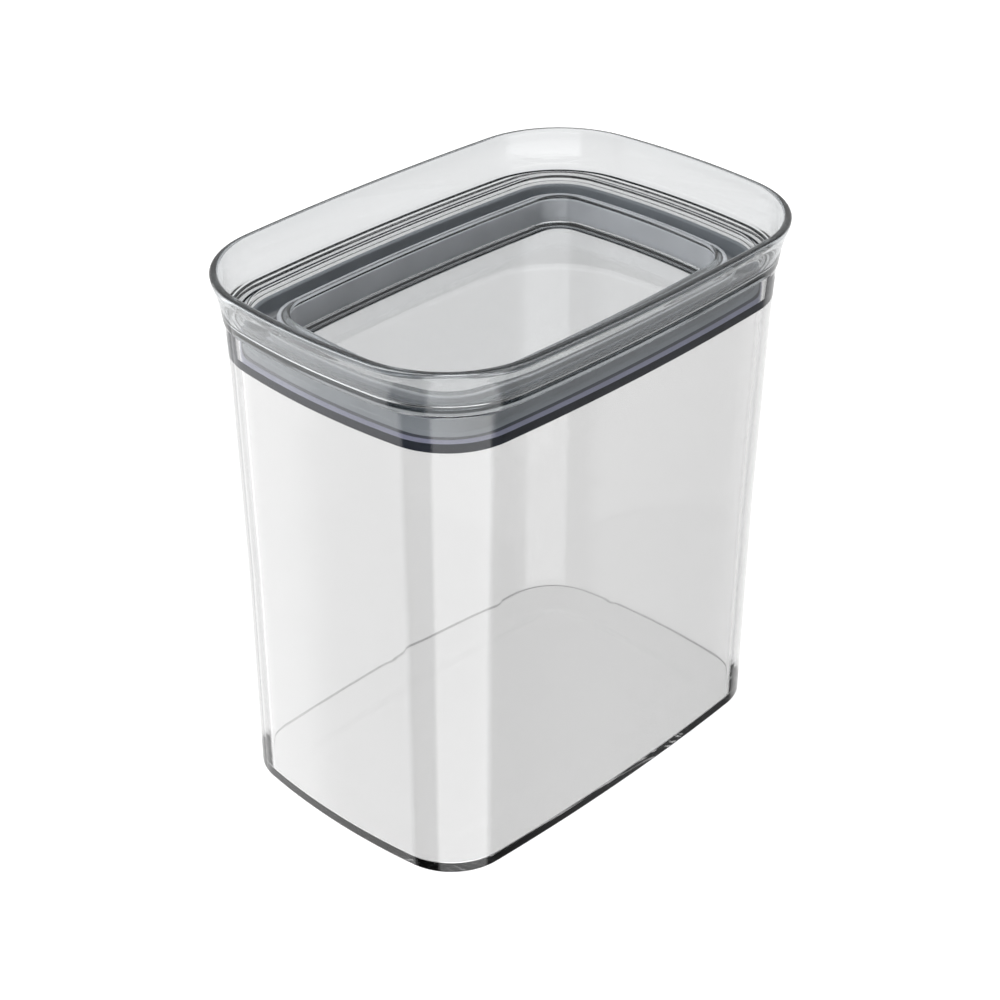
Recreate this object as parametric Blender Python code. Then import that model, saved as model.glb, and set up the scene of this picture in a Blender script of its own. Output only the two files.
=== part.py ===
"""Airtight storage container: a clear press-on canister in three pieces.

The tub has a rounded rectangular plan with bowed sides. The smoke-tinted lid sits on the tub's flat lip, and its
plug goes down inside it. A silicone ring lies in the groove round the plug and presses on the tub's wall.
Metres, +Z up. The origin is at the middle of the tub's foot, and the long side runs along X.
"""
import math

import bmesh
import bpy
from mathutils import Vector

for old_object in list(bpy.data.objects):
    bpy.data.objects.remove(old_object)

# Plan of the lid's rim, which every other outline is measured from as an inset
LENGTH = 0.160
DEPTH = 0.1112
LONG_BOW = 0.00405
SHORT_BOW = 0.0070

# Corner radii, each stated where its arc would meet the rim's outline
RIM_CORNER = 0.0323
BODY_CORNER = 0.0270
BORE_CORNER_EASE = 0.0015
PAN_CORNER = 0.0315

# Tub
BODY_HEIGHT = 0.1488
LIP_INSET = 0.0048
COLLAR_DROP = 0.0170
COLLAR_LEAN = 0.0009
WAIST_LEAN = 0.00155
FOOT_LEAN = 0.00065
WAIST_HEIGHT_SHARE = 0.46
BODY_WALL = 0.0021
LIP_OUTER_ROUND = 0.0010
LIP_INNER_ROUND = 0.0004
FLOOR_TOP = 0.0021
FLOOR_FILLET = 0.0006
FOOT_FILLET = 0.0005
FOOT_RING_WIDTH = 0.0136
PANEL_RISE = 0.0002
PANEL_SLOPE_WIDTH = 0.0030

# Lid: rim wall and the ledge that sits on the tub's lip
SEAT_GAP = 0.0003
RIM_RISE = 0.0136
RIM_FLARE = 0.00285
RIM_THICKNESS = 0.0023
RIM_CROWN_ROUND = 0.0010
RIM_FOOT_ROUND = 0.0007
RIM_WALL = 0.0019
RIM_WALL_FILLET = 0.0022
FLARE_HEIGHT_SHARES = (0.12, 0.41, 0.71, 0.87)
FLARE_INSET_SHARES = (0.93, 0.70, 0.33, 0.00)
LEDGE_THICKNESS = 0.0016
LEDGE_EDGE_ROUND = 0.0005

# Lid: plug, recess floor, pan and the flange that holds the seal
PLUG_CLEARANCE = 0.0018
PLUG_WALL = 0.0022
RECESS_DROP = 0.0015
RECESS_FILLET = 0.0005
RECESS_FLOOR_WIDTH = 0.0103
RECESS_FLOOR_THICKNESS = 0.0016
PAN_DROP = 0.0095
PAN_LEAN = 0.0008
PAN_WALL = 0.0020
PAN_EDGE_ROUND = 0.0008
PAN_FILLET = 0.0018
PAN_THICKNESS = 0.0019
FLANGE_THICKNESS = 0.0015
FLANGE_WIDTH = 0.0061
FLANGE_ROUND = 0.0005

# Seal
SEAL_CLEARANCE = 0.0003
SEAL_THICKNESS = 0.0015
SEAL_LIP_HEIGHT = 0.0029
SEAL_LIP_REACH = 0.0035
SEAL_LIP_DROP = 0.0021
SEAL_ROUND = 0.0005

# Facets
LONG_STEPS = 3
SHORT_STEPS = 2
CORNER_STEPS = 9
ARC_STEPS = 3

# Levels and plans that pieces share. Lid and seal heights are measured from the lid's seat.
SEAT_HEIGHT = BODY_HEIGHT + SEAT_GAP
LEDGE_TOP = LEDGE_THICKNESS
RECESS_FLOOR = LEDGE_TOP - RECESS_DROP
RECESS_UNDERSIDE = RECESS_FLOOR - RECESS_FLOOR_THICKNESS
PAN_FLOOR = RECESS_FLOOR - PAN_DROP
PAN_UNDERSIDE = PAN_FLOOR - PAN_THICKNESS
FLANGE_TOP = PAN_UNDERSIDE + FLANGE_THICKNESS
BORE_CORNER = BODY_CORNER + BORE_CORNER_EASE


def arc(centre, radius, start, end, steps):
    """Points along an arc, without its last one."""
    turn = (end - start) / steps
    angles = [start + turn * step for step in range(steps)]
    return [centre + radius * Vector((math.cos(angle), math.sin(angle))) for angle in angles]


def outline(inset, corner):
    """The rim's outline moved inwards by the inset, with corner arcs of the given radius."""
    half_x = LENGTH / 2
    half_y = DEPTH / 2
    long_radius = (half_x ** 2 + LONG_BOW ** 2) / (2 * LONG_BOW)
    short_radius = (half_y ** 2 + SHORT_BOW ** 2) / (2 * SHORT_BOW)
    long_centre = Vector((0, half_y - long_radius))
    short_centre = Vector((half_x - short_radius, 0))

    # A corner's centre is where circles about the two side centres cross
    apart = short_centre - long_centre
    to_long = long_radius - corner
    to_short = short_radius - corner
    along = (to_long ** 2 - to_short ** 2 + apart.length_squared) / (2 * apart.length)
    across = math.sqrt(to_long ** 2 - along ** 2)
    unit = apart.normalized()
    corner_centre = long_centre + unit * along + Vector((unit.y, -unit.x)) * across

    from_short = corner_centre - short_centre
    from_long = corner_centre - long_centre
    short_end = math.atan2(from_short.y, from_short.x)
    corner_end = math.atan2(from_long.y, from_long.x)
    quarter = arc(short_centre, short_radius - inset, 0, short_end, SHORT_STEPS)
    quarter += arc(corner_centre, corner - inset, short_end, corner_end, CORNER_STEPS)
    quarter += arc(long_centre, long_radius - inset, corner_end, math.pi / 2, LONG_STEPS)
    quarter.append(Vector((0, half_y - inset)))

    forwards = quarter[:-1]
    backwards = quarter[:0:-1]
    points = [(p.x, p.y) for p in forwards] + [(-p.x, p.y) for p in backwards]
    points += [(-p.x, -p.y) for p in forwards] + [(p.x, -p.y) for p in backwards]
    return points


def rounded(corners, closed=False):
    """A wall section's points, from corners given as inset, height, plan corner and fillet radius."""
    points = []
    last = len(corners) - 1
    for index, (inset, height, plan_corner, radius) in enumerate(corners):
        if radius == 0 or (not closed and index in (0, last)):
            points.append((inset, height, plan_corner))
            continue
        here = Vector((inset, height))
        following = corners[index + 1] if index < last else corners[0]
        back = Vector(corners[index - 1][:2]) - here
        ahead = Vector(following[:2]) - here
        half_angle = back.angle(ahead) / 2
        # A fillet takes at most half of each side that it joins
        reach = min(radius / math.tan(half_angle), back.length / 2, ahead.length / 2)
        back.normalize()
        ahead.normalize()
        centre = here + (back + ahead).normalized() * (reach / math.cos(half_angle))
        first_spoke = here + back * reach - centre
        last_spoke = here + ahead * reach - centre
        for step in range(ARC_STEPS + 1):
            direction = first_spoke.slerp(last_spoke, step / ARC_STEPS)
            point = centre + direction * first_spoke.length
            points.append((point.x, point.y, plan_corner))
    return points


def loft(name, section, material, collection, closed=False):
    """Skin the section round the plan. An open section ends in two flat faces, a closed one makes a ring.

    The walls are lofted because their corner radius changes from one level to the next.
    """
    form = bmesh.new()
    rings = []
    for inset, height, plan_corner in section:
        rings.append([form.verts.new((x, y, height)) for x, y in outline(inset, plan_corner)])
    steps = list(zip(rings, rings[1:]))
    if closed:
        steps.append((rings[-1], rings[0]))
    else:
        form.faces.new(reversed(rings[0]))
        form.faces.new(rings[-1])
    for lower, upper in steps:
        for index in range(len(lower)):
            following = (index + 1) % len(lower)
            form.faces.new((lower[index], lower[following], upper[following], upper[index]))

    mesh = bpy.data.meshes.new(name)
    form.to_mesh(mesh)
    form.free()
    mesh.materials.append(material)
    mesh.shade_smooth()
    mesh.set_sharp_from_angle(angle=math.radians(40))
    piece = bpy.data.objects.new(name, mesh)
    collection.objects.link(piece)
    return piece


def plastic(name, color, roughness, transmission, ior):
    """A Principled material for one moulding."""
    material = bpy.data.materials.new(name)
    material.use_nodes = True
    shader = material.node_tree.nodes["Principled BSDF"]
    shader.inputs["Base Color"].default_value = (*color, 1)
    shader.inputs["Roughness"].default_value = roughness
    shader.inputs["Metallic"].default_value = 0
    shader.inputs["Transmission Weight"].default_value = transmission
    shader.inputs["IOR"].default_value = ior
    return material


def wall_inset(height):
    """Inset of the tub's outer wall: a slightly flared collar, then a gentle lean down to the foot."""
    waist = WAIST_HEIGHT_SHARE * BODY_HEIGHT
    collar = BODY_HEIGHT - COLLAR_DROP
    collar_inset = LIP_INSET + COLLAR_LEAN
    waist_inset = collar_inset + WAIST_LEAN
    if height > collar:
        return LIP_INSET + COLLAR_LEAN * (BODY_HEIGHT - height) / COLLAR_DROP
    if height > waist:
        return collar_inset + WAIST_LEAN * (collar - height) / (collar - waist)
    return waist_inset + FOOT_LEAN * (waist - height) / waist


def bore_inset(height):
    """Inset of the tub's inner wall."""
    return wall_inset(height) + BODY_WALL


def tub_section():
    """From the panel under the base out to the foot, up the outside, over the lip and down the inside."""
    waist = WAIST_HEIGHT_SHARE * BODY_HEIGHT
    collar = BODY_HEIGHT - COLLAR_DROP
    foot = wall_inset(0)
    ring_inner = foot + FOOT_FILLET + FOOT_RING_WIDTH
    return rounded([
        (ring_inner + PANEL_SLOPE_WIDTH, PANEL_RISE, PAN_CORNER, 0),
        (ring_inner, 0, PAN_CORNER, 0),
        (foot, 0, BODY_CORNER, FOOT_FILLET),
        (wall_inset(waist), waist, BODY_CORNER, 0),
        (wall_inset(collar), collar, BODY_CORNER, 0),
        (LIP_INSET, BODY_HEIGHT, BODY_CORNER, LIP_OUTER_ROUND),
        (bore_inset(BODY_HEIGHT), BODY_HEIGHT, BORE_CORNER, LIP_INNER_ROUND),
        (bore_inset(collar), collar, BORE_CORNER, 0),
        (bore_inset(waist), waist, BORE_CORNER, 0),
        (bore_inset(FLOOR_TOP), FLOOR_TOP, BORE_CORNER, FLOOR_FILLET),
        (ring_inner, FLOOR_TOP, PAN_CORNER, 0),
    ])


def plug_inset(level):
    """Inset of the lid's plug, which clears the tub's inner wall at every level."""
    return bore_inset(SEAT_HEIGHT + level) + PLUG_CLEARANCE


def pan_wall_inset(level):
    """Inset of the pan's inner wall, which leans in from the recess floor to the pan's floor."""
    top = plug_inset(RECESS_UNDERSIDE) + PLUG_WALL + RECESS_FLOOR_WIDTH
    return top + PAN_LEAN * (RECESS_FLOOR - level) / PAN_DROP


def groove_inset(level):
    """Inset of the pan's outer wall, which is the inner side of the seal's groove."""
    return pan_wall_inset(level) - PAN_WALL


def flange_inset():
    """Inset of the flange that stands out under the groove and holds the seal up."""
    return groove_inset(FLANGE_TOP) - FLANGE_WIDTH


def lid_section():
    """From the pan's underside out to the flange, round the groove, up the rim and down the inside."""
    flange = flange_inset()
    seat = plug_inset(-SEAT_GAP)
    riser = plug_inset(RECESS_UNDERSIDE) + PLUG_WALL
    rim_foot = RIM_FLARE * FLARE_INSET_SHARES[0]
    flared_wall = [(RIM_FLARE * inset_share, RIM_RISE * height_share, RIM_CORNER, 0)
                   for height_share, inset_share in zip(FLARE_HEIGHT_SHARES, FLARE_INSET_SHARES)]
    return rounded([
        (pan_wall_inset(PAN_FLOOR) + PAN_FILLET, PAN_UNDERSIDE, PAN_CORNER, 0),
        (flange, PAN_UNDERSIDE, PAN_CORNER, FLANGE_ROUND),
        (flange, FLANGE_TOP, PAN_CORNER, FLANGE_ROUND),
        (groove_inset(FLANGE_TOP), FLANGE_TOP, PAN_CORNER, 0),
        (groove_inset(RECESS_UNDERSIDE), RECESS_UNDERSIDE, PAN_CORNER, 0),
        (plug_inset(RECESS_UNDERSIDE), RECESS_UNDERSIDE, BORE_CORNER, LEDGE_EDGE_ROUND),
        (seat, 0, BORE_CORNER, 0),
        (RIM_FLARE, 0, RIM_CORNER, RIM_FOOT_ROUND),
        *flared_wall,
        (0, RIM_RISE, RIM_CORNER, RIM_CROWN_ROUND),
        (RIM_THICKNESS, RIM_RISE, RIM_CORNER, RIM_CROWN_ROUND),
        (rim_foot + RIM_WALL, LEDGE_TOP, RIM_CORNER, RIM_WALL_FILLET),
        (riser - LEDGE_EDGE_ROUND, LEDGE_TOP, BORE_CORNER, LEDGE_EDGE_ROUND),
        (riser, RECESS_FLOOR, BORE_CORNER, RECESS_FILLET),
        (pan_wall_inset(RECESS_FLOOR), RECESS_FLOOR, PAN_CORNER, PAN_EDGE_ROUND),
        (pan_wall_inset(PAN_FLOOR), PAN_FLOOR, PAN_CORNER, PAN_FILLET),
        (pan_wall_inset(PAN_FLOOR) + PAN_FILLET, PAN_FLOOR, PAN_CORNER, 0),
    ])


def seal_section():
    """A channel open upwards between the pan and an outer sleeve, with a lip that reaches out to the tub's wall."""
    bottom = FLANGE_TOP + SEAL_CLEARANCE
    web_top = bottom + SEAL_THICKNESS
    top = RECESS_UNDERSIDE - SEAL_CLEARANCE
    lip_bottom = bottom - SEAL_LIP_DROP
    lip_top = lip_bottom + SEAL_LIP_HEIGHT
    lip_low = bore_inset(SEAT_HEIGHT + lip_bottom) + SEAL_CLEARANCE
    lip_high = bore_inset(SEAT_HEIGHT + lip_top) + SEAL_CLEARANCE
    sleeve = lip_high + SEAL_LIP_REACH
    flange = flange_inset() - SEAL_CLEARANCE
    leg_low = groove_inset(bottom) - SEAL_CLEARANCE
    leg_high = groove_inset(top) - SEAL_CLEARANCE
    return rounded([
        (leg_low, bottom, PAN_CORNER, SEAL_ROUND),
        (flange, bottom, PAN_CORNER, SEAL_ROUND),
        (flange, lip_bottom, PAN_CORNER, SEAL_ROUND),
        (lip_low, lip_bottom, BORE_CORNER, SEAL_ROUND),
        (lip_high, lip_top, BORE_CORNER, SEAL_ROUND),
        (sleeve, lip_top, BORE_CORNER, SEAL_ROUND),
        (sleeve, top, BORE_CORNER, SEAL_ROUND),
        (sleeve + SEAL_THICKNESS, top, BORE_CORNER, SEAL_ROUND),
        (sleeve + SEAL_THICKNESS, web_top, BORE_CORNER, SEAL_ROUND),
        (leg_low - SEAL_THICKNESS, web_top, PAN_CORNER, SEAL_ROUND),
        (leg_high - SEAL_THICKNESS, top, PAN_CORNER, SEAL_ROUND),
        (leg_high, top, PAN_CORNER, SEAL_ROUND),
    ], closed=True)


container = bpy.data.collections.new("airtight_storage_container")
bpy.context.scene.collection.children.link(container)

clear_plastic = plastic("clear_plastic", (0.96, 0.97, 0.97), 0.04, 1, 1.57)
smoke_plastic = plastic("smoke_plastic", (0.52, 0.53, 0.55), 0.05, 1, 1.57)
slate_silicone = plastic("slate_silicone", (0.055, 0.065, 0.085), 0.55, 0, 1.42)

tub = loft("container_body", tub_section(), clear_plastic, container)

# The lid lifts straight up with its seal, so both have their origin on the lift's axis at the seat
lid = loft("lid", lid_section(), smoke_plastic, container)
lid.location = (0, 0, SEAT_HEIGHT)
seal = loft("seal_gasket", seal_section(), slate_silicone, container, closed=True)
seal.parent = lid
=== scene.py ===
"""Looks of a clear airtight storage container with a smoke-tinted press-on lid and a slate silicone seal.

Metres, in the model's own frame: +Z up, the long side runs along X, and the container stands on the ground plane.
"""
import math

import bmesh
import bpy
from mathutils import Matrix, Vector


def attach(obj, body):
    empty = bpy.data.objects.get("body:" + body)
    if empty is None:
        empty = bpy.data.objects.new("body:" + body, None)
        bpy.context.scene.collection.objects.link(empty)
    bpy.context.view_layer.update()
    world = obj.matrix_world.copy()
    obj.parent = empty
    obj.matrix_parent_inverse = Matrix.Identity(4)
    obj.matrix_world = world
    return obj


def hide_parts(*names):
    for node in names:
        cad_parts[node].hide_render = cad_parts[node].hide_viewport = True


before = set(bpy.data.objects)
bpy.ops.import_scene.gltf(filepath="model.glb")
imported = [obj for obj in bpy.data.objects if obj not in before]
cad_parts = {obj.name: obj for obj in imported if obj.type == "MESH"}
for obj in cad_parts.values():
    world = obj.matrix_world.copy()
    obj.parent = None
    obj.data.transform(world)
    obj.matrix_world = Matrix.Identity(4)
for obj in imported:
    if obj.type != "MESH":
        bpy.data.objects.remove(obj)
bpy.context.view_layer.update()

# ---------------------------------------------------------------------------------------------------------------
# Tub. A deep rectangular canister with bowed sides, injection moulded in one shot in clear styrene plastic. The
# wall is about 2 mm, thicker at the corners, with a slightly flared collar and a flat lip for the lid's ledge.
# ---------------------------------------------------------------------------------------------------------------
# Plan of the lid's rim, which every outline is measured from as an inset
LENGTH = 0.160
DEPTH = 0.1112
LONG_BOW = 0.00405
SHORT_BOW = 0.0070
RIM_CORNER = 0.0323

TUB_CORNER = 0.0270
BORE_CORNER = 0.0285
PAN_CORNER = 0.0315
TUB_HEIGHT = 0.1488
LIP_INSET = 0.0048
COLLAR_HEIGHT = 0.1318
COLLAR_LEAN = 0.0009
WAIST_HEIGHT = 0.0684
WAIST_LEAN = 0.00155
FOOT_LEAN = 0.00065
TUB_WALL = 0.0021
LIP_OUTER_ROUND = 0.0010
LIP_INNER_ROUND = 0.0004
FLOOR_TOP = 0.0021
FLOOR_FILLET = 0.0006
FOOT_FILLET = 0.0005
FOOT_RING_WIDTH = 0.0136
PANEL_RISE = 0.0002
PANEL_SLOPE_WIDTH = 0.0030

LONG_STEPS = 20
SHORT_STEPS = 14
CORNER_STEPS = 30
FILLET_STEPS = 8
# Flat faces keep their true shading up to this close to a fillet
EDGE_HOLD = 0.00012


def arc(centre, radius, start, end, steps):
    """Points along an arc, without its last one."""
    turn = (end - start) / steps
    angles = [start + turn * step for step in range(steps)]
    return [centre + radius * Vector((math.cos(angle), math.sin(angle))) for angle in angles]


def plan_outline(inset, corner):
    """The rim's outline moved inwards by the inset, with corner arcs of the given radius."""
    half_x = LENGTH / 2
    half_y = DEPTH / 2
    long_radius = (half_x ** 2 + LONG_BOW ** 2) / (2 * LONG_BOW)
    short_radius = (half_y ** 2 + SHORT_BOW ** 2) / (2 * SHORT_BOW)
    long_centre = Vector((0, half_y - long_radius))
    short_centre = Vector((half_x - short_radius, 0))

    # A corner's centre is where circles about the two side centres cross
    apart = short_centre - long_centre
    to_long = long_radius - corner
    to_short = short_radius - corner
    along = (to_long ** 2 - to_short ** 2 + apart.length_squared) / (2 * apart.length)
    across = math.sqrt(to_long ** 2 - along ** 2)
    unit = apart.normalized()
    corner_centre = long_centre + unit * along + Vector((unit.y, -unit.x)) * across

    from_short = corner_centre - short_centre
    from_long = corner_centre - long_centre
    short_end = math.atan2(from_short.y, from_short.x)
    corner_end = math.atan2(from_long.y, from_long.x)
    quarter = arc(short_centre, short_radius - inset, 0, short_end, SHORT_STEPS)
    quarter += arc(corner_centre, corner - inset, short_end, corner_end, CORNER_STEPS)
    quarter += arc(long_centre, long_radius - inset, corner_end, math.pi / 2, LONG_STEPS)
    quarter.append(Vector((0, half_y - inset)))

    forwards = quarter[:-1]
    backwards = quarter[:0:-1]
    points = [(p.x, p.y) for p in forwards] + [(-p.x, p.y) for p in backwards]
    points += [(-p.x, -p.y) for p in forwards] + [(p.x, -p.y) for p in backwards]
    return points


def filleted(corners, closed=False):
    """A wall section's rings, from corners given as inset, height, plan corner and fillet radius."""
    rings = []
    last = len(corners) - 1
    for index, (inset, height, plan_corner, radius) in enumerate(corners):
        if radius == 0 or (not closed and index in (0, last)):
            rings.append((inset, height, plan_corner))
            continue
        here = Vector((inset, height))
        following = corners[index + 1] if index < last else corners[0]
        back = Vector(corners[index - 1][:2]) - here
        ahead = Vector(following[:2]) - here
        half_angle = back.angle(ahead) / 2
        reach = min(radius / math.tan(half_angle), back.length / 2, ahead.length / 2)
        back_room = back.length / 2 - reach
        ahead_room = ahead.length / 2 - reach
        back.normalize()
        ahead.normalize()
        centre = here + (back + ahead).normalized() * (reach / math.cos(half_angle))
        first_spoke = here + back * reach - centre
        last_spoke = here + ahead * reach - centre
        if back_room > EDGE_HOLD:
            held = here + back * (reach + EDGE_HOLD)
            rings.append((held.x, held.y, plan_corner))
        for step in range(FILLET_STEPS + 1):
            direction = first_spoke.slerp(last_spoke, step / FILLET_STEPS)
            point = centre + direction * first_spoke.length
            rings.append((point.x, point.y, plan_corner))
        if ahead_room > EDGE_HOLD:
            held = here + ahead * (reach + EDGE_HOLD)
            rings.append((held.x, held.y, plan_corner))
    return rings


def skin(name, rings, closed=False):
    """A smooth moulding through the rings. An open one ends in two flat faces, a closed one makes a hoop."""
    form = bmesh.new()
    loops = []
    for inset, height, plan_corner in rings:
        loops.append([form.verts.new((x, y, height)) for x, y in plan_outline(inset, plan_corner)])
    steps = list(zip(loops, loops[1:]))
    if closed:
        steps.append((loops[-1], loops[0]))
    else:
        form.faces.new(reversed(loops[0]))
        form.faces.new(loops[-1])
    for lower, upper in steps:
        for index in range(len(lower)):
            following = (index + 1) % len(lower)
            form.faces.new((lower[index], lower[following], upper[following], upper[index]))
    mesh = bpy.data.meshes.new(name)
    form.to_mesh(mesh)
    form.free()
    mesh.shade_smooth()
    piece = bpy.data.objects.new(name, mesh)
    bpy.context.scene.collection.objects.link(piece)
    return piece


def wall_inset(height):
    """Inset of the tub's outer wall: a slightly flared collar, then a gentle lean down to the foot."""
    collar_inset = LIP_INSET + COLLAR_LEAN
    if height > COLLAR_HEIGHT:
        return LIP_INSET + COLLAR_LEAN * (TUB_HEIGHT - height) / (TUB_HEIGHT - COLLAR_HEIGHT)
    if height > WAIST_HEIGHT:
        return collar_inset + WAIST_LEAN * (COLLAR_HEIGHT - height) / (COLLAR_HEIGHT - WAIST_HEIGHT)
    return collar_inset + WAIST_LEAN + FOOT_LEAN * (WAIST_HEIGHT - height) / WAIST_HEIGHT


def bore_inset(height):
    """Inset of the tub's inner wall."""
    return wall_inset(height) + TUB_WALL


def tub_rings():
    """From the panel under the base out to the foot, up the outside, over the lip and down the inside."""
    foot = wall_inset(0)
    ring_inner = foot + FOOT_FILLET + FOOT_RING_WIDTH
    panel = ring_inner + PANEL_SLOPE_WIDTH
    return filleted([
        (panel + PANEL_SLOPE_WIDTH, PANEL_RISE, PAN_CORNER, 0),
        (panel, PANEL_RISE, PAN_CORNER, PANEL_SLOPE_WIDTH),
        (ring_inner, 0, PAN_CORNER, PANEL_SLOPE_WIDTH),
        (foot, 0, TUB_CORNER, FOOT_FILLET),
        (wall_inset(WAIST_HEIGHT), WAIST_HEIGHT, TUB_CORNER, TUB_HEIGHT),
        (wall_inset(COLLAR_HEIGHT), COLLAR_HEIGHT, TUB_CORNER, TUB_HEIGHT / 2),
        (LIP_INSET, TUB_HEIGHT, TUB_CORNER, LIP_OUTER_ROUND),
        (bore_inset(TUB_HEIGHT), TUB_HEIGHT, BORE_CORNER, LIP_INNER_ROUND),
        (bore_inset(COLLAR_HEIGHT), COLLAR_HEIGHT, BORE_CORNER, TUB_HEIGHT / 2),
        (bore_inset(WAIST_HEIGHT), WAIST_HEIGHT, BORE_CORNER, TUB_HEIGHT),
        (bore_inset(FLOOR_TOP), FLOOR_TOP, BORE_CORNER, FLOOR_FILLET),
        (ring_inner, FLOOR_TOP, PAN_CORNER, 0),
    ])


def feed(tree, value, socket):
    """Set a socket to a plain value, or link it to another socket."""
    if isinstance(value, bpy.types.NodeSocket):
        tree.links.new(value, socket)
    else:
        socket.default_value = value


def noise(tree, place, scale, detail):
    """A noise that stays fixed to the piece, as a factor."""
    texture = tree.nodes.new("ShaderNodeTexNoise")
    feed(tree, place, texture.inputs["Vector"])
    feed(tree, scale, texture.inputs["Scale"])
    feed(tree, detail, texture.inputs["Detail"])
    return texture.outputs["Fac"]


def remapped(tree, value, source, target=(0, 1), smooth=False):
    """The value moved from the source range to the target range, each given as its low and high end."""
    ranges = tree.nodes.new("ShaderNodeMapRange")
    ranges.interpolation_type = "SMOOTHSTEP" if smooth else "LINEAR"
    feed(tree, value, ranges.inputs["Value"])
    feed(tree, source[0], ranges.inputs["From Min"])
    feed(tree, source[1], ranges.inputs["From Max"])
    feed(tree, target[0], ranges.inputs["To Min"])
    feed(tree, target[1], ranges.inputs["To Max"])
    return ranges.outputs["Result"]


def bumped(tree, height, strength, distance):
    """The normal of a surface raised by the height."""
    bump = tree.nodes.new("ShaderNodeBump")
    feed(tree, height, bump.inputs["Height"])
    feed(tree, strength, bump.inputs["Strength"])
    feed(tree, distance, bump.inputs["Distance"])
    return bump.outputs["Normal"]


def shader_choice(tree, switch, off, on):
    """The shader off, or on where the switch is 1."""
    pick = tree.nodes.new("ShaderNodeMixShader")
    for value, socket in zip((switch, off, on), pick.inputs):
        feed(tree, value, socket)
    return pick.outputs["Shader"]


def fresh_material(name):
    """A new material with its node tree and Principled shader."""
    material = bpy.data.materials.new(name)
    material.use_nodes = True
    return material, material.node_tree, material.node_tree.nodes["Principled BSDF"]


WAVE_DETAIL = 1
HAZE_SCALE = 45
HAZE_DETAIL = 4
# Haze begins at the first level of the noise and is full at the second
HAZE_LEVELS = (0.45, 0.75)


def moulded_finish():
    """The slight waves and haze that a polished mould leaves on clear plastic, as a roughness and a normal."""
    group = bpy.data.node_groups.new("moulded_finish", "ShaderNodeTree")
    for name in ("Wave Scale", "Wave Height", "Clean Roughness", "Haze Roughness"):
        group.interface.new_socket(name, in_out="INPUT", socket_type="NodeSocketFloat")
    group.interface.new_socket("Roughness", in_out="OUTPUT", socket_type="NodeSocketFloat")
    group.interface.new_socket("Normal", in_out="OUTPUT", socket_type="NodeSocketVector")
    given = group.nodes.new("NodeGroupInput").outputs
    result = group.nodes.new("NodeGroupOutput").inputs
    place = group.nodes.new("ShaderNodeTexCoord").outputs["Object"]
    waves = noise(group, place, given["Wave Scale"], WAVE_DETAIL)
    feed(group, bumped(group, waves, 1, given["Wave Height"]), result["Normal"])
    haze = noise(group, place, HAZE_SCALE, HAZE_DETAIL)
    roughness = remapped(group, haze, HAZE_LEVELS, (given["Clean Roughness"], given["Haze Roughness"]))
    feed(group, roughness, result["Roughness"])
    return group


PLASTIC_IOR = 1.52
plastic_finish = moulded_finish()


def clear_moulding(name, colour, waves, haze, lamp_colour, tint):
    """A transparent plastic. Waves are a scale and a height, haze the clean and the hazy roughness, and tint the
    colour and density of the plastic all through. Lamps pass it as a plain colour, to reach what is inside."""
    material, tree, shader = fresh_material(name)
    shader.inputs["Base Color"].default_value = (*colour, 1)
    shader.inputs["Metallic"].default_value = 0
    shader.inputs["Transmission Weight"].default_value = 1
    shader.inputs["IOR"].default_value = PLASTIC_IOR
    surface = tree.nodes.new("ShaderNodeGroup")
    surface.node_tree = plastic_finish
    for socket, value in zip(("Wave Scale", "Wave Height", "Clean Roughness", "Haze Roughness"), (*waves, *haze)):
        surface.inputs[socket].default_value = value
    tree.links.new(surface.outputs["Roughness"], shader.inputs["Roughness"])
    tree.links.new(surface.outputs["Normal"], shader.inputs["Normal"])
    is_lamp = tree.nodes.new("ShaderNodeLightPath").outputs["Is Shadow Ray"]
    lamp_pass = tree.nodes.new("ShaderNodeBsdfTransparent")
    lamp_pass.inputs["Color"].default_value = (*lamp_colour, 1)
    output = tree.nodes["Material Output"]
    either = shader_choice(tree, is_lamp, shader.outputs["BSDF"], lamp_pass.outputs["BSDF"])
    tree.links.new(either, output.inputs["Surface"])
    body = tree.nodes.new("ShaderNodeVolumeAbsorption")
    body.inputs["Color"].default_value = (*tint[0], 1)
    body.inputs["Density"].default_value = tint[1]
    tree.links.new(body.outputs["Volume"], output.inputs["Volume"])
    return material


LAMP_COLOUR = (0.93, 0.935, 0.94)
clear_plastic = clear_moulding(
    "clear_plastic", colour=(0.89, 0.89, 0.89), waves=(28, 0.000012), haze=(0.0, 0.010),
    lamp_colour=LAMP_COLOUR, tint=((0.5, 0.5, 0.5), 18),
)

tub = skin("tub_shell", tub_rings())
tub.data.materials.append(clear_plastic)
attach(tub, "container")
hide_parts("container_body")

# ---------------------------------------------------------------------------------------------------------------
# Lid. A smoke-tinted moulding of the same plastic with a flared stacking rim. A ledge rests on the tub's lip, and
# a stepped recess and pan go down inside it, with a flange below that holds the seal in its groove.
# ---------------------------------------------------------------------------------------------------------------
SEAT_HEIGHT = 0.1491
RIM_RISE = 0.0136
RIM_FLARE = 0.00285
RIM_THICKNESS = 0.0023
RIM_CROWN_ROUND = 0.0010
RIM_FOOT_ROUND = 0.0007
RIM_WALL = 0.0019
RIM_WALL_FILLET = 0.0022
# How much of the flare's inset is left at each share of the rim's height
FLARE = ((0.00, 1.00), (0.12, 0.93), (0.41, 0.70), (0.71, 0.33), (0.87, 0.06), (1.00, 0.00))
FLARE_SUBSTEPS = 5
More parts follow.
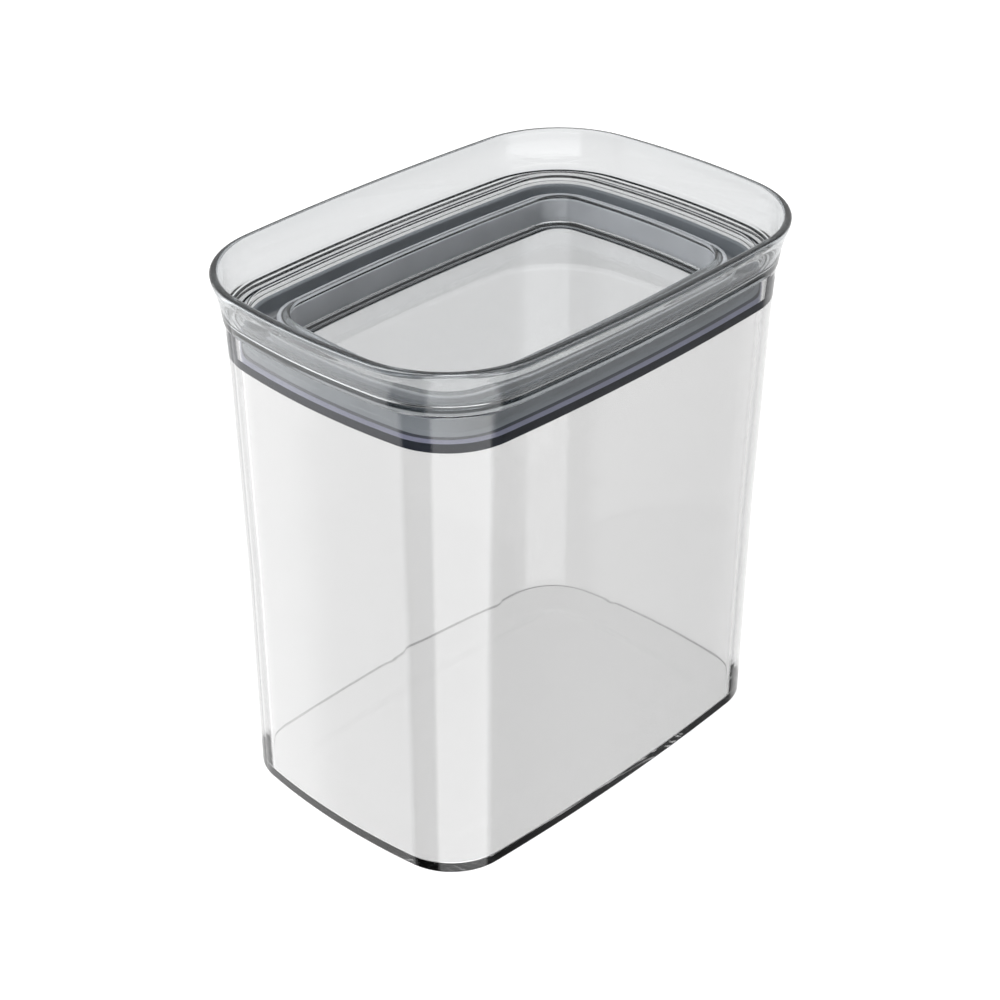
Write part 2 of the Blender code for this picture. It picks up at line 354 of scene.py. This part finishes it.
# The shares between which the flared face is drawn, clear of its two rounded ends
FLARE_SHARES = (0.10, 0.88)
LEDGE_TOP = 0.0016
LEDGE_EDGE_ROUND = 0.0005
PLUG_CLEARANCE = 0.0018
PLUG_WALL = 0.0022
RECESS_FLOOR = 0.0001
RECESS_UNDERSIDE = -0.0015
RECESS_FILLET = 0.0005
RECESS_FLOOR_WIDTH = 0.0103
PAN_FLOOR = -0.0094
PAN_LEAN = 0.0008
PAN_WALL = 0.0020
PAN_EDGE_ROUND = 0.0008
PAN_FILLET = 0.0030
PAN_UNDERSIDE = -0.0113
FLANGE_TOP = -0.0098
FLANGE_WIDTH = 0.0061
FLANGE_ROUND = 0.0005


def plug_inset(level):
    """Inset of the lid's plug, which clears the tub's inner wall at every level."""
    return bore_inset(SEAT_HEIGHT + level) + PLUG_CLEARANCE


def pan_wall_inset(level):
    """Inset of the pan's inner wall, which leans in from the recess floor to the pan's floor."""
    top = plug_inset(RECESS_UNDERSIDE) + PLUG_WALL + RECESS_FLOOR_WIDTH
    return top + PAN_LEAN * (RECESS_FLOOR - level) / (RECESS_FLOOR - PAN_FLOOR)


def groove_inset(level):
    """Inset of the pan's outer wall, which is the inner side of the seal's groove."""
    return pan_wall_inset(level) - PAN_WALL


def flange_inset():
    """Inset of the flange that stands out under the groove and holds the seal up."""
    return groove_inset(FLANGE_TOP) - FLANGE_WIDTH


def flare_inset(share):
    """Inset of the rim's outer face at a share of its height, on a smooth curve through the flare's points."""
    for (low, low_inset), (high, high_inset) in zip(FLARE, FLARE[1:]):
        if share <= high:
            along = (share - low) / (high - low)
            index = FLARE.index((low, low_inset))
            before = FLARE[max(index - 1, 0)]
            after = FLARE[min(index + 2, len(FLARE) - 1)]
            low_slope = (high_inset - before[1]) / (high - before[0])
            high_slope = (after[1] - low_inset) / (after[0] - low)
            width = high - low
            blend = along * along * (3 - 2 * along)
            ease_in = along * (1 - along) ** 2 * width * low_slope
            ease_out = along * along * (along - 1) * width * high_slope
            return RIM_FLARE * (low_inset * (1 - blend) + high_inset * blend + ease_in + ease_out)
    return 0


def lid_rings():
    """From the pan's underside out to the flange, round the groove, up the rim and down the inside."""
    flange = flange_inset()
    seat = plug_inset(0)
    riser = plug_inset(RECESS_UNDERSIDE) + PLUG_WALL
    rim_foot = flare_inset(FLARE[1][0])
    pan_foot = pan_wall_inset(PAN_FLOOR)
    count = FLARE_SUBSTEPS * len(FLARE)
    first, last = FLARE_SHARES
    shares = [first + (last - first) * step / count for step in range(count + 1)]
    flared_face = [(flare_inset(share), RIM_RISE * share, RIM_CORNER, 0) for share in shares]
    return filleted([
        (pan_foot + 2 * PAN_FILLET, PAN_UNDERSIDE, PAN_CORNER, 0),
        (flange, PAN_UNDERSIDE, PAN_CORNER, FLANGE_ROUND),
        (flange, FLANGE_TOP, PAN_CORNER, FLANGE_ROUND),
        (groove_inset(FLANGE_TOP), FLANGE_TOP, PAN_CORNER, RIM_FOOT_ROUND),
        (groove_inset(RECESS_UNDERSIDE), RECESS_UNDERSIDE, PAN_CORNER, RIM_FOOT_ROUND),
        (plug_inset(RECESS_UNDERSIDE), RECESS_UNDERSIDE, BORE_CORNER, LEDGE_EDGE_ROUND),
        (seat, 0, BORE_CORNER, LEDGE_EDGE_ROUND),
        (RIM_FLARE, 0, RIM_CORNER, RIM_FOOT_ROUND),
        *flared_face,
        (0, RIM_RISE, RIM_CORNER, RIM_CROWN_ROUND),
        (RIM_THICKNESS, RIM_RISE, RIM_CORNER, RIM_CROWN_ROUND),
        (rim_foot + RIM_WALL, LEDGE_TOP, RIM_CORNER, RIM_WALL_FILLET),
        (riser - LEDGE_EDGE_ROUND, LEDGE_TOP, BORE_CORNER, LEDGE_EDGE_ROUND),
        (riser, RECESS_FLOOR, BORE_CORNER, RECESS_FILLET),
        (pan_wall_inset(RECESS_FLOOR), RECESS_FLOOR, PAN_CORNER, PAN_EDGE_ROUND),
        (pan_foot, PAN_FLOOR, PAN_CORNER, PAN_FILLET),
        (pan_foot + 2 * PAN_FILLET, PAN_FLOOR, PAN_CORNER, 0),
    ])


smoke_plastic = clear_moulding(
    "smoke_plastic", colour=(0.99, 0.99, 0.99), waves=(34, 0.000010), haze=(0.0, 0.03),
    lamp_colour=LAMP_COLOUR, tint=((0.50, 0.53, 0.55), 195),
)

lid = skin("lid_moulding", [(inset, SEAT_HEIGHT + level, corner) for inset, level, corner in lid_rings()])
lid.data.materials.append(smoke_plastic)
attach(lid, "lid")
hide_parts("lid")

# ---------------------------------------------------------------------------------------------------------------
# Seal. A slate-grey silicone hoop of channel section, compression moulded and stretched over the lid's pan. A lip
# at the foot of its outer sleeve wipes the tub's wall. The silicone has a faint bloom and picks up dust.
# ---------------------------------------------------------------------------------------------------------------
SEAL_CLEARANCE = 0.0003
SEAL_THICKNESS = 0.0015
SEAL_LIP_HEIGHT = 0.0029
SEAL_LIP_REACH = 0.0035
SEAL_LIP_DROP = 0.0021
SEAL_ROUND = 0.0005
# The lip is squeezed by this much where it wets the tub's wall
LIP_SQUEEZE = 0.00003
LIP_EDGE_ROUND = 0.00015
LIP_TOP_RISE = 0.0012


def seal_rings():
    """A channel open upwards between the pan and an outer sleeve, with a lip that reaches out to the tub's wall."""
    bottom = FLANGE_TOP + SEAL_CLEARANCE
    web_top = bottom + SEAL_THICKNESS
    top = RECESS_UNDERSIDE - SEAL_CLEARANCE
    lip_bottom = bottom - SEAL_LIP_DROP
    lip_top = lip_bottom + SEAL_LIP_HEIGHT
    lip_low = bore_inset(SEAT_HEIGHT + lip_bottom) - LIP_SQUEEZE
    lip_high = bore_inset(SEAT_HEIGHT + lip_top) - LIP_SQUEEZE
    sleeve = lip_high + SEAL_CLEARANCE + SEAL_LIP_REACH
    flange = flange_inset() - SEAL_CLEARANCE
    leg_low = groove_inset(bottom) - SEAL_CLEARANCE
    leg_high = groove_inset(top) - SEAL_CLEARANCE
    return filleted([
        (leg_low, bottom, PAN_CORNER, SEAL_ROUND),
        (flange, bottom, PAN_CORNER, SEAL_ROUND),
        (flange, lip_bottom, PAN_CORNER, SEAL_ROUND),
        (lip_low, lip_bottom, BORE_CORNER, LIP_EDGE_ROUND),
        (lip_high, lip_top, BORE_CORNER, LIP_EDGE_ROUND),
        (sleeve, lip_top + LIP_TOP_RISE, BORE_CORNER, SEAL_ROUND),
        (sleeve, top, BORE_CORNER, SEAL_ROUND),
        (sleeve + SEAL_THICKNESS, top, BORE_CORNER, SEAL_ROUND),
        (sleeve + SEAL_THICKNESS, web_top, BORE_CORNER, SEAL_ROUND),
        (leg_low - SEAL_THICKNESS, web_top, PAN_CORNER, SEAL_ROUND),
        (leg_high - SEAL_THICKNESS, top, PAN_CORNER, SEAL_ROUND),
        (leg_high, top, PAN_CORNER, SEAL_ROUND),
    ], closed=True)


def vector_step(tree, operation, value, other=(0, 0, 0)):
    """One step of vector arithmetic, as its outputs."""
    step = tree.nodes.new("ShaderNodeVectorMath")
    step.operation = operation
    feed(tree, value, step.inputs[0])
    feed(tree, other, step.inputs[1])
    return step.outputs


def number_step(tree, operation, first, second):
    """One step of plain arithmetic."""
    step = tree.nodes.new("ShaderNodeMath")
    step.operation = operation
    feed(tree, first, step.inputs[0])
    feed(tree, second, step.inputs[1])
    return step.outputs["Value"]


def colour_mix(tree, share, first, second, blend="MIX"):
    """The first colour blended with a share of the second."""
    mix = tree.nodes.new("ShaderNodeMix")
    mix.data_type = "RGBA"
    mix.blend_type = blend
    feed(tree, share, mix.inputs[0])
    feed(tree, first, mix.inputs[6])
    feed(tree, second, mix.inputs[7])
    return mix.outputs[2]


# Height where each band begins: painted shade on the lip's face against the tub's wall, a painted highlight on the
# lip's top, a painted shade line in the fold above it, the sleeve's plain tone
SLATE_PAINTED_SHADING = ((0.1390, (0.015, 0.019, 0.029)), (0.1403, (0.24, 0.245, 0.33)),
               (0.1408, (0.06, 0.065, 0.080)), (0.1411, (0.275, 0.295, 0.315)))
# The height that the ramp of tones spans
TONE_SPAN = 0.004


def painted_shading_by_height(tree, place):
    """The silicone's outer side at each height, in bands of painted shade and painted highlight."""
    lowest, lowest_tone = SLATE_PAINTED_SHADING[0]
    height = tree.nodes.new("ShaderNodeSeparateXYZ")
    feed(tree, place, height.inputs["Vector"])
    zones = tree.nodes.new("ShaderNodeValToRGB")
    ramp = zones.color_ramp
    ramp.interpolation = "CONSTANT"
    ramp.elements.remove(ramp.elements[1])
    ramp.elements[0].color = (*lowest_tone, 1)
    for zone_height, tone in SLATE_PAINTED_SHADING[1:]:
        ramp.elements.new((zone_height - lowest) / TONE_SPAN).color = (*tone, 1)
    share = remapped(tree, height.outputs["Z"], (lowest, lowest + TONE_SPAN))
    feed(tree, share, zones.inputs["Fac"])
    return zones.outputs["Color"]


# The leg against the pan is painted paler, a painted light for the light that reaches it from above through the lid.
# It lies within a reach of this rounded rectangle
LEG_HALF_X = 0.0599
LEG_HALF_Y = 0.0355
LEG_CORNER = 0.0115
LEG_REACH = 0.003
LEG_PAINTED_LIGHT = (0.62, 0.63, 0.655)


def on_leg(tree, place):
    """1 on the hoop's leg against the pan, and 0 on the rest of it."""
    corner_centre = (LEG_HALF_X - LEG_CORNER, LEG_HALF_Y - LEG_CORNER, 1)
    quarter = vector_step(tree, "ABSOLUTE", place)["Vector"]
    past_centre = vector_step(tree, "SUBTRACT", quarter, corner_centre)["Vector"]
    outwards = vector_step(tree, "MAXIMUM", past_centre)["Vector"]
    distance = vector_step(tree, "LENGTH", outwards)["Value"]
    return number_step(tree, "LESS_THAN", distance, LEG_CORNER + LEG_REACH)


SILICONE_IOR = 1.42
BLOOM_SCALE = 60
BLOOM_DETAIL = 6
# How far the bloom changes the tone and the roughness
BLOOM_TONES = (0.8, 1.2)
BLOOM_ROUGHNESS = (0.42, 0.62)
GRAIN_SCALE = 1500
GRAIN_DETAIL = 2
GRAIN_STRENGTH = 0.4
GRAIN_HEIGHT = 0.00003


def slate_silicone():
    """Matt silicone rubber with a faint uneven bloom and a fine grain, its tone carrying painted light and shade."""
    material, tree, shader = fresh_material("slate_silicone")
    shader.inputs["IOR"].default_value = SILICONE_IOR
    place = tree.nodes.new("ShaderNodeTexCoord").outputs["Object"]
    bloom = noise(tree, place, BLOOM_SCALE, BLOOM_DETAIL)
    # Painted light and shade: bands of painted shade and highlight by height on the outer side, and a leg painted
    # paler for light from above
    tone = colour_mix(tree, on_leg(tree, place), painted_shading_by_height(tree, place), (*LEG_PAINTED_LIGHT, 1))
    bloomed = colour_mix(tree, 1, tone, remapped(tree, bloom, (0, 1), BLOOM_TONES), "MULTIPLY")
    tree.links.new(bloomed, shader.inputs["Base Color"])
    tree.links.new(remapped(tree, bloom, (0, 1), BLOOM_ROUGHNESS), shader.inputs["Roughness"])
    grain = noise(tree, place, GRAIN_SCALE, GRAIN_DETAIL)
    tree.links.new(bumped(tree, grain, GRAIN_STRENGTH, GRAIN_HEIGHT), shader.inputs["Normal"])
    return material


seal = skin("seal_ring", [(inset, SEAT_HEIGHT + level, corner) for inset, level, corner in seal_rings()], closed=True)
seal.data.materials.append(slate_silicone())
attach(seal, "lid")
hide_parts("seal_gasket")

# ---------------------------------------------------------------------------------------------------------------
# Studio. A white table under soft light from the left, with a pale surround that the plastic shows, and tall
# white panels on two sides that it mirrors. The camera looks down on the corner between a long and a short side.
# ---------------------------------------------------------------------------------------------------------------
TABLE_HALF = 3.0
TABLE_DROP = 0.0002
TABLE_PAINT = (0.80, 0.80, 0.80)
# Even light that the camera sees on the table besides the lamps' light, which keeps its shadow pale
TABLE_GLOW = 0.30

table_mesh = bpy.data.meshes.new("table")
table_form = bmesh.new()
corners = ((-1, -1), (1, -1), (1, 1), (-1, 1))
table_form.faces.new([table_form.verts.new((x * TABLE_HALF, y * TABLE_HALF, -TABLE_DROP)) for x, y in corners])
table_form.to_mesh(table_mesh)
table_form.free()
table = bpy.data.objects.new("table", table_mesh)
bpy.context.scene.collection.objects.link(table)

# The table takes the shadow as plain white paint does, shows white through the plastic, and lets mirrored rays
# pass on to the studio's panels
paper, tree, shader = fresh_material("table_paper")
tree.nodes.remove(shader)
path = tree.nodes.new("ShaderNodeLightPath").outputs
painted = tree.nodes.new("ShaderNodeBsdfDiffuse")
painted.inputs["Color"].default_value = (*TABLE_PAINT, 1)
glow = tree.nodes.new("ShaderNodeEmission")
glow.inputs["Strength"].default_value = TABLE_GLOW
lit = tree.nodes.new("ShaderNodeAddShader")
tree.links.new(painted.outputs["BSDF"], lit.inputs[0])
tree.links.new(glow.outputs["Emission"], lit.inputs[1])
white = tree.nodes.new("ShaderNodeEmission")
beyond = tree.nodes.new("ShaderNodeBsdfTransparent")
surface = shader_choice(tree, path["Is Camera Ray"], painted.outputs["BSDF"], lit.outputs["Shader"])
surface = shader_choice(tree, path["Is Transmission Ray"], surface, white.outputs["Emission"])
surface = shader_choice(tree, path["Is Glossy Ray"], surface, beyond.outputs["BSDF"])
tree.links.new(surface, tree.nodes["Material Output"].inputs["Surface"])
table.data.materials.append(paper)


def panel_mask(tree, facing, centre, half_width, softness):
    """1 where a level direction points within half_width of the centre's compass angle, all in degrees."""
    middle = math.radians(centre)
    heading = vector_step(tree, "DOT_PRODUCT", facing, (math.cos(middle), math.sin(middle), 0))["Value"]
    outer_edge = math.cos(math.radians(half_width + softness))
    inner_edge = math.cos(math.radians(half_width - softness))
    return remapped(tree, heading, (outer_edge, inner_edge), smooth=True)


def with_panels(tree, facing, level, panels):
    """The level with each panel's brightness added, where a panel is its mask's three angles and a brightness."""
    for *angles, brightness in panels:
        panel = number_step(tree, "MULTIPLY", panel_mask(tree, facing, *angles), brightness)
        level = number_step(tree, "ADD", panel, level)
    return level


def chosen(tree, switch, off, on):
    """The value off, or on where the switch is 1."""
    pick = tree.nodes.new("ShaderNodeMix")
    pick.data_type = "FLOAT"
    feed(tree, switch, pick.inputs[0])
    feed(tree, off, pick.inputs[2])
    feed(tree, on, pick.inputs[3])
    return pick.outputs[0]


# Compass angle, half width, softness and brightness of each tall panel that the upright walls mirror
PANELS = ((122, 33, 4, 1.6), (244, 43, 4, 2.0), (330, 15, 6, 0.25), (37, 52, 8, 1.0))
PANEL_GAP = 0.05
# The left panel reaches the far walls more faintly than the near ones
SEEN_CHANGES = ((143, 14, 6, -0.9),)
# The panels give way to the ceiling between these upward parts of a direction
PANEL_TOPS = (0.05, 0.45)
CEILING_MIRRORED = 0.85
CEILING_THROUGH = 0.03
# Light on painted surfaces, and light that has come in through the plastic on its way to the silicone
LAMPLIT_LEVEL = 0.55
INNER_LIGHT = 1.1

world = bpy.data.worlds.new("studio")
bpy.context.scene.world = world
world.use_nodes = True
tree = world.node_tree
direction = tree.nodes.new("ShaderNodeTexCoord").outputs["Generated"]
level_part = vector_step(tree, "MULTIPLY", direction, (1, 1, 0))["Vector"]
facing = vector_step(tree, "NORMALIZE", level_part)["Vector"]
upwards = tree.nodes.new("ShaderNodeSeparateXYZ")
tree.links.new(direction, upwards.inputs["Vector"])
above = remapped(tree, upwards.outputs["Z"], PANEL_TOPS, smooth=True)

surround = with_panels(tree, facing, PANEL_GAP, PANELS)
mirrored = chosen(tree, above, surround, CEILING_MIRRORED)
through = chosen(tree, above, with_panels(tree, facing, surround, SEEN_CHANGES), CEILING_THROUGH)
path = tree.nodes.new("ShaderNodeLightPath").outputs
level = chosen(tree, path["Is Glossy Ray"], LAMPLIT_LEVEL, mirrored)
level = chosen(tree, path["Is Transmission Ray"], level, through)
level = chosen(tree, path["Is Camera Ray"], level, 1)
passed_in = number_step(tree, "MULTIPLY", path["Diffuse Depth"], path["Transmission Depth"])
passed_in.node.use_clamp = True
level = chosen(tree, passed_in, level, INNER_LIGHT)
background = tree.nodes["Background"]
background.inputs["Color"].default_value = (1, 1, 1, 1)
tree.links.new(level, background.inputs["Strength"])

# Name, place, size and power of each soft lamp, all aimed at the middle of the container
AIM = Vector((0, 0, 0.08))
LAMPS = (("softbox_left", (-1.1, 0.1, 1.0), 0.9, 16), ("softbox_top", (0.2, 0.1, 1.5), 1.2, 12))
for name, place, size, power in LAMPS:
    light = bpy.data.lights.new(name, "AREA")
    light.shape = "SQUARE"
    light.size = size
    light.energy = power
    lamp = bpy.data.objects.new(name, light)
    lamp.location = place
    lamp.rotation_euler = (AIM - Vector(place)).to_track_quat("-Z", "Y").to_euler()
    lamp.visible_glossy = False
    lamp.visible_transmission = False
    bpy.context.scene.collection.objects.link(lamp)

# Light runs on through many thin walls before it is lost
LIGHT_BOUNCES = 64
CLEAR_LAYERS = 32
cycles = bpy.context.scene.cycles
cycles.max_bounces = LIGHT_BOUNCES
cycles.transmission_bounces = LIGHT_BOUNCES
cycles.glossy_bounces = LIGHT_BOUNCES
cycles.transparent_max_bounces = CLEAR_LAYERS

# Lens and sensor in millimetres, turns in degrees
CAMERA_LENS = 83.0
CAMERA_SENSOR = 36
CAMERA_SHIFT = -0.0067
CAMERA_PLACE = (-0.424286, -0.396269, 0.427097)
CAMERA_TURNS = ((-46.956, "Z"), (90 - 30.991, "X"), (0.282, "Z"))
camera_data = bpy.data.cameras.new("camera")
camera_data.lens = CAMERA_LENS
camera_data.sensor_width = CAMERA_SENSOR
camera_data.shift_x = CAMERA_SHIFT
camera = bpy.data.objects.new("camera", camera_data)
turn, tilt, roll = (Matrix.Rotation(math.radians(angle), 3, axis) for angle, axis in CAMERA_TURNS)
camera.matrix_world = Matrix.Translation(CAMERA_PLACE) @ (turn @ tilt @ roll).to_4x4()
bpy.context.scene.collection.objects.link(camera)
bpy.context.scene.camera = camera
bpy.context.scene.view_settings.view_transform = "Standard"
